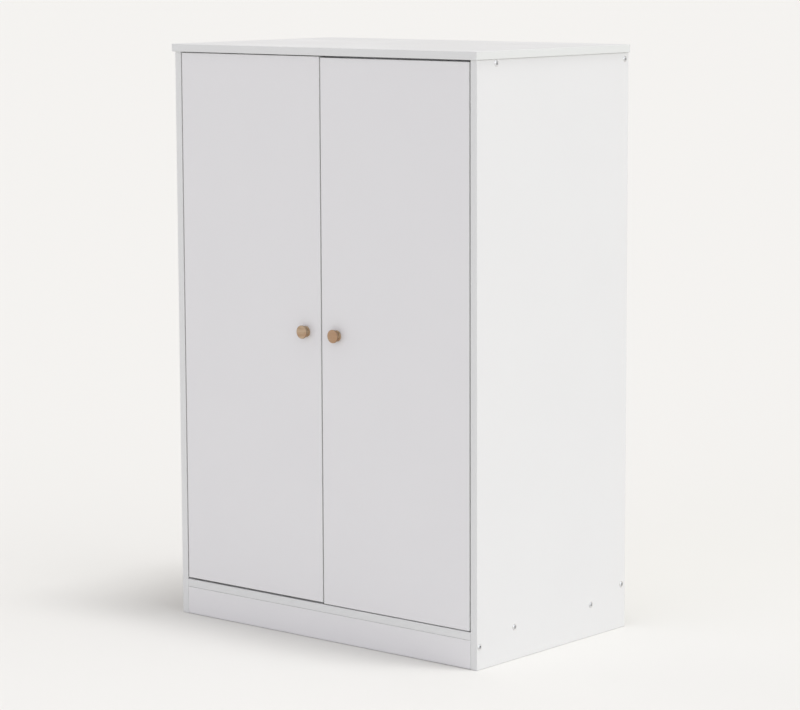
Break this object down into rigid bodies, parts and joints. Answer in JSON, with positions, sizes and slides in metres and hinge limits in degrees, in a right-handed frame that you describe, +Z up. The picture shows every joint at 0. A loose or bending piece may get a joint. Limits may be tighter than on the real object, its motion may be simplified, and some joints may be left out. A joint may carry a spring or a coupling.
{
  "type": "wardrobe with doors",
  "caption": "Tall white board cabinet with a pair of inset hinged doors, round wooden knobs, a plinth, an overhanging top and a hanging rail inside.",
  "frame": {"origin": "on the floor under the middle of the wardrobe's box", "axes": "+Z up, the doors face -Y, the width runs along X with the right-hand door at +X"},
  "size_m": [0.808, 0.5024, 1.2],
  "materials": {
    "white_board": "white melamine facing on chipboard, satin, with a matching edge tape",
    "white_back": "white lacquered hardboard, matt",
    "white_plastic": "white extruded plastic, satin",
    "knob_wood": "turned light hardwood, satin lacquer",
    "zinc_screw": "zinc-plated steel",
    "hinge_nickel": "nickel-plated pressed steel",
    "rail_chrome": "chromed steel tube and flanges"
  },
  "bodies": {
    "carcass": {"top_panel": "white_board", "bottom_panel": "white_board", "plinth_board": "white_board", "top_front_rail": "white_board", "top_rear_batten": "white_board", "low_rear_batten": "white_board", "back_strip": "white_plastic", "hanging_rail": "rail_chrome", "left_side_panel": "white_board", "left_back_leaf": "white_back", "left_rail_flange": "rail_chrome", "left_screw_front_rail": "zinc_screw", "left_screw_top_batten": "zinc_screw", "left_screw_plinth": "zinc_screw", "left_screw_bottom_front": "zinc_screw", "left_screw_bottom_rear": "zinc_screw", "left_screw_low_batten": "zinc_screw", "left_hinge_lower_arm": "hinge_nickel", "left_hinge_lower_plate": "hinge_nickel", "left_hinge_upper_arm": "hinge_nickel", "left_hinge_upper_plate": "hinge_nickel", "left_rail_screw_1": "zinc_screw", "left_rail_screw_2": "zinc_screw", "left_top_screw_front": "zinc_screw", "left_top_screw_rear": "zinc_screw", "right_side_panel": "white_board", "right_back_leaf": "white_back", "right_rail_flange": "rail_chrome", "right_screw_front_rail": "zinc_screw", "right_screw_top_batten": "zinc_screw", "right_screw_plinth": "zinc_screw", "right_screw_bottom_front": "zinc_screw", "right_screw_bottom_rear": "zinc_screw", "right_screw_low_batten": "zinc_screw", "right_hinge_lower_arm": "hinge_nickel", "right_hinge_lower_plate": "hinge_nickel", "right_hinge_upper_arm": "hinge_nickel", "right_hinge_upper_plate": "hinge_nickel", "right_rail_screw_1": "zinc_screw", "right_rail_screw_2": "zinc_screw", "right_top_screw_front": "zinc_screw", "right_top_screw_rear": "zinc_screw"},
    "left_door": {"left_door": "white_board", "left_knob": "knob_wood", "left_knob_screw": "zinc_screw", "left_hinge_lower_cup": "hinge_nickel", "left_hinge_upper_cup": "hinge_nickel"},
    "right_door": {"right_door": "white_board", "right_knob": "knob_wood", "right_knob_screw": "zinc_screw", "right_hinge_lower_cup": "hinge_nickel", "right_hinge_upper_cup": "hinge_nickel"}
  },
  "joints": [
    {"name": "left_door_hinge", "type": "hinge", "parent": "carcass", "child": "left_door", "pos_m": [-0.366, -0.22875, 0.629], "axis": [0, 0, -1], "range_deg": [0, 100]},
    {"name": "right_door_hinge", "type": "hinge", "parent": "carcass", "child": "right_door", "pos_m": [0.366, -0.22875, 0.629], "axis": [0, 0, 1], "range_deg": [0, 100]}
  ]
}
